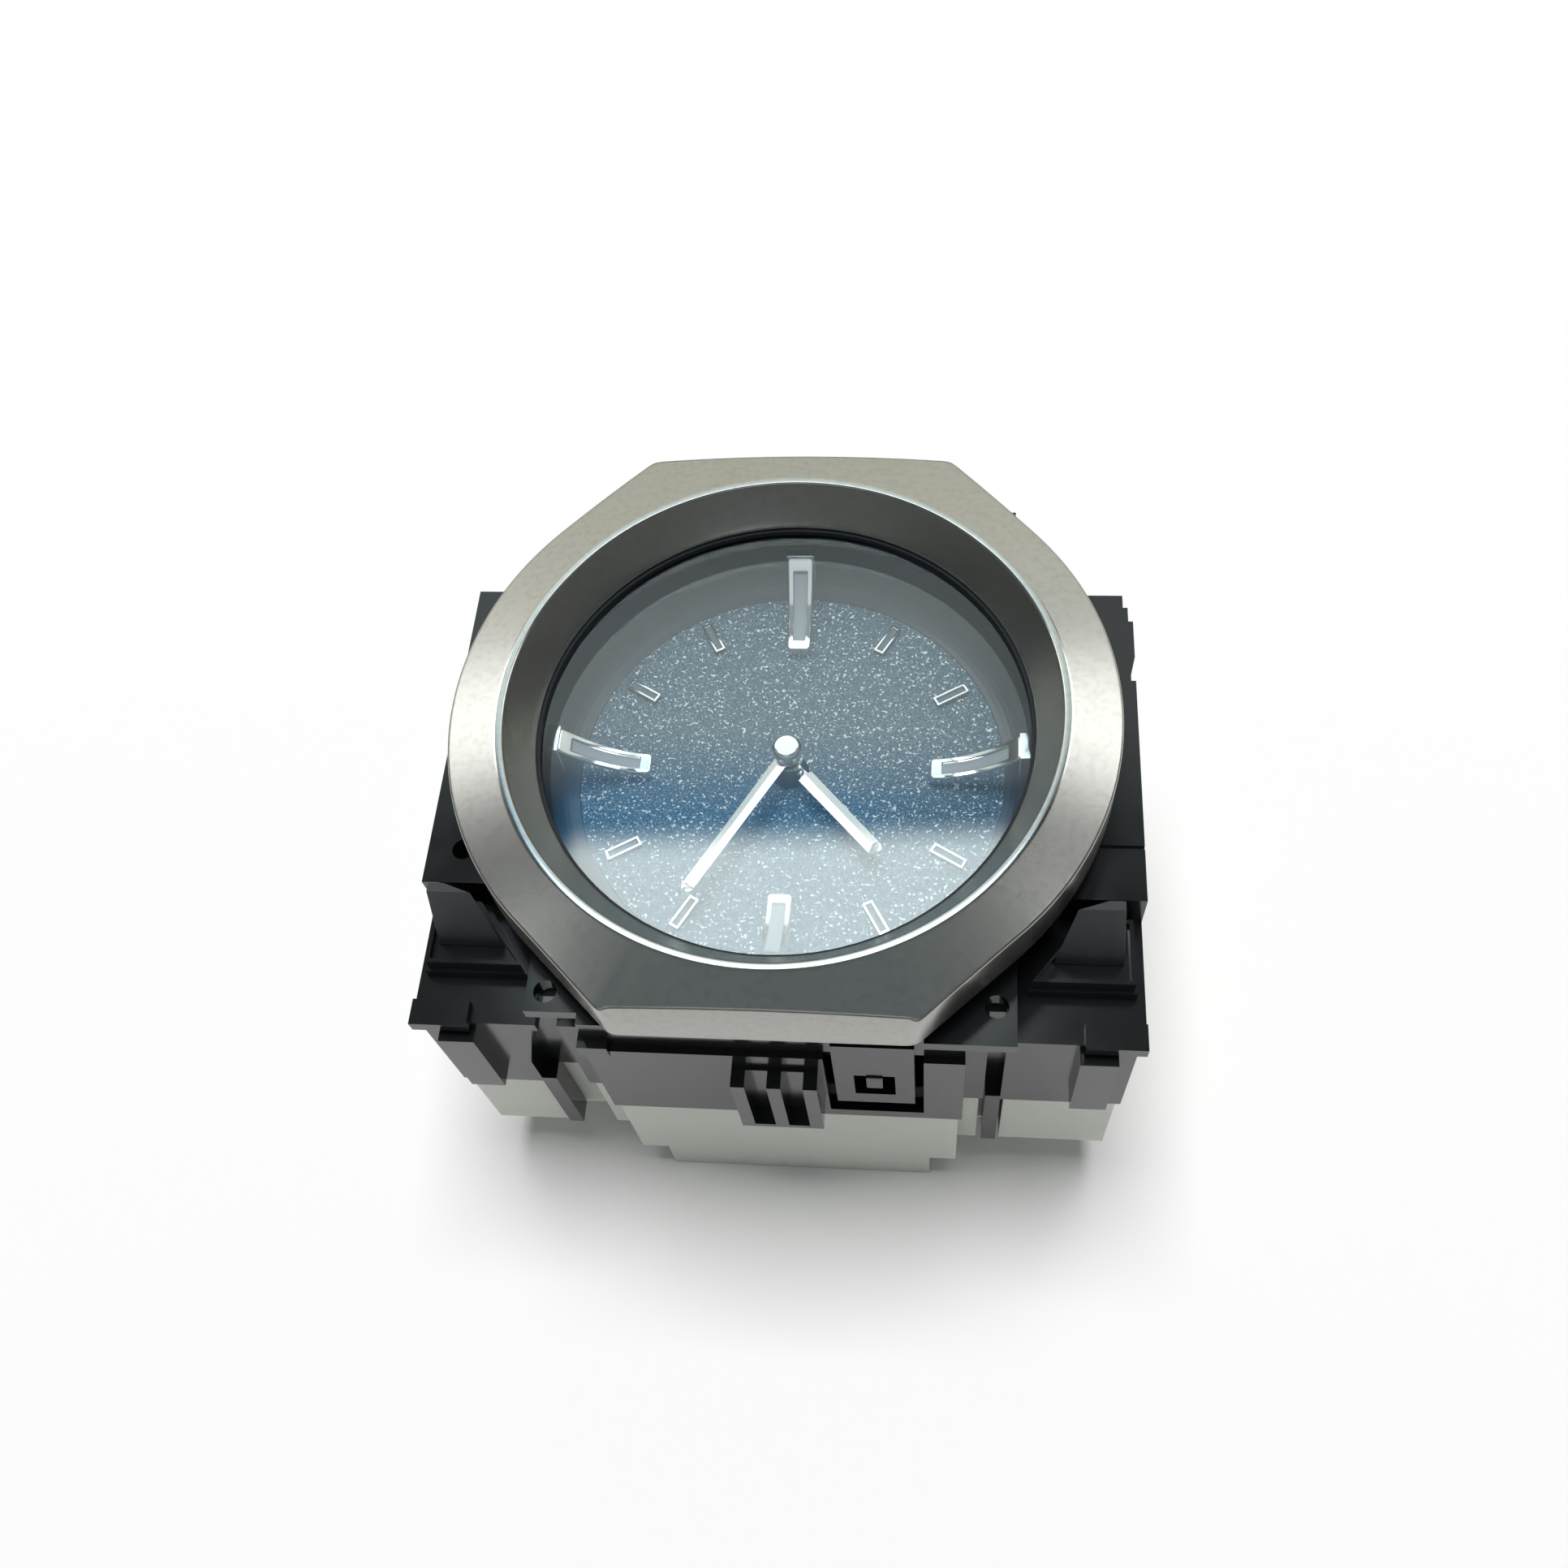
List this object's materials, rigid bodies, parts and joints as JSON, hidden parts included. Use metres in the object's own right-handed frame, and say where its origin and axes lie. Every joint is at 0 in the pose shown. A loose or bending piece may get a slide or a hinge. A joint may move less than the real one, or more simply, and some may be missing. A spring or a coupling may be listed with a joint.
{
  "type": "dashboard clock",
  "caption": "Analogue car dashboard clock: satin metal bezel and flat lens over a dished dial, geared hands, black snap-in housing and white rear case with plug socket",
  "frame": {"origin": "On the dial axis, at the flat rear face that the clock rests on", "axes": "+Z along the dial axis towards the viewer, +Y to twelve o'clock, +X to three o'clock"},
  "size_m": [0.0726, 0.0668, 0.0547],
  "materials": {
    "milky_plastic": "satin",
    "board": "satin",
    "lamp": "satin",
    "screw_steel": "satin",
    "soft_black": "matte",
    "pin_brass": "polished",
    "plate_steel": "brushed",
    "stator_iron": "satin",
    "coil_copper": "satin",
    "rotor_magnet": "satin",
    "gear_brass": "satin",
    "gloss_black": "gloss",
    "clear_guide": "polished",
    "dial_slate": "metallic flecks",
    "ring_dark": "satin",
    "bright_metal": "polished",
    "lens_clear": "polished",
    "gasket_rubber": "matte",
    "satin_nickel": "satin nickel"
  },
  "bodies": {
    "case": {"rear_case": "milky_plastic", "circuit_board": "board", "board_lamps": "lamp", "board_screws": "screw_steel", "socket": "soft_black", "socket_pins": "pin_brass", "movement_back_plate": "plate_steel", "stator": "stator_iron", "coil": "coil_copper", "movement_pillars": "gear_brass", "movement_front_plate": "plate_steel", "movement_screws": "screw_steel", "front_housing": "gloss_black", "case_screws": "screw_steel", "left_peg": "soft_black", "right_peg": "soft_black", "dial_carrier": "gloss_black", "light_guide": "clear_guide", "dial_plate": "dial_slate", "dial_ring": "ring_dark", "quarter_markers": "bright_metal", "hour_batons": "bright_metal", "lens": "lens_clear", "gasket": "gasket_rubber", "bezel": "satin_nickel", "bezel_screws": "screw_steel"},
    "minute_train": {"minute_arbor": "gear_brass", "minute_hand": "bright_metal", "hand_cap": "bright_metal"},
    "hour_train": {"hour_wheel": "gear_brass", "hour_hand": "bright_metal"},
    "minute_wheel_body": {"minute_wheel": "gear_brass"},
    "third_wheel_body": {"third_wheel": "gear_brass"},
    "rotor_body": {"rotor": "rotor_magnet"}
  },
  "joints": [
    {"name": "minute_turn", "type": "hinge", "parent": "case", "child": "minute_train", "pos_m": [0, 0, 0.0405], "axis": [0, 0, -1], "continuous": true},
    {"name": "hour_turn", "type": "hinge", "parent": "case", "child": "hour_train", "pos_m": [0, 0, 0.0405], "axis": [0, 0, -1], "continuous": true},
    {"name": "minute_wheel_turn", "type": "hinge", "parent": "case", "child": "minute_wheel_body", "pos_m": [0, 0.0075, 0.0287], "axis": [0, 0, -1], "continuous": true},
    {"name": "third_wheel_turn", "type": "hinge", "parent": "case", "child": "third_wheel_body", "pos_m": [-0.00987, -0.00359, 0.0241], "axis": [0, 0, -1], "continuous": true},
    {"name": "rotor_turn", "type": "hinge", "parent": "case", "child": "rotor_body", "pos_m": [-0.00537, -0.01139, 0.0211], "axis": [0, 0, -1], "continuous": true}
  ],
  "couplings": [
    {"joint": "hour_turn", "follows": "minute_turn", "ratio": 0.083333},
    {"joint": "minute_wheel_turn", "follows": "minute_turn", "ratio": -0.33333},
    {"joint": "third_wheel_turn", "follows": "minute_turn", "ratio": -6},
    {"joint": "rotor_turn", "follows": "minute_turn", "ratio": 30}
  ]
}
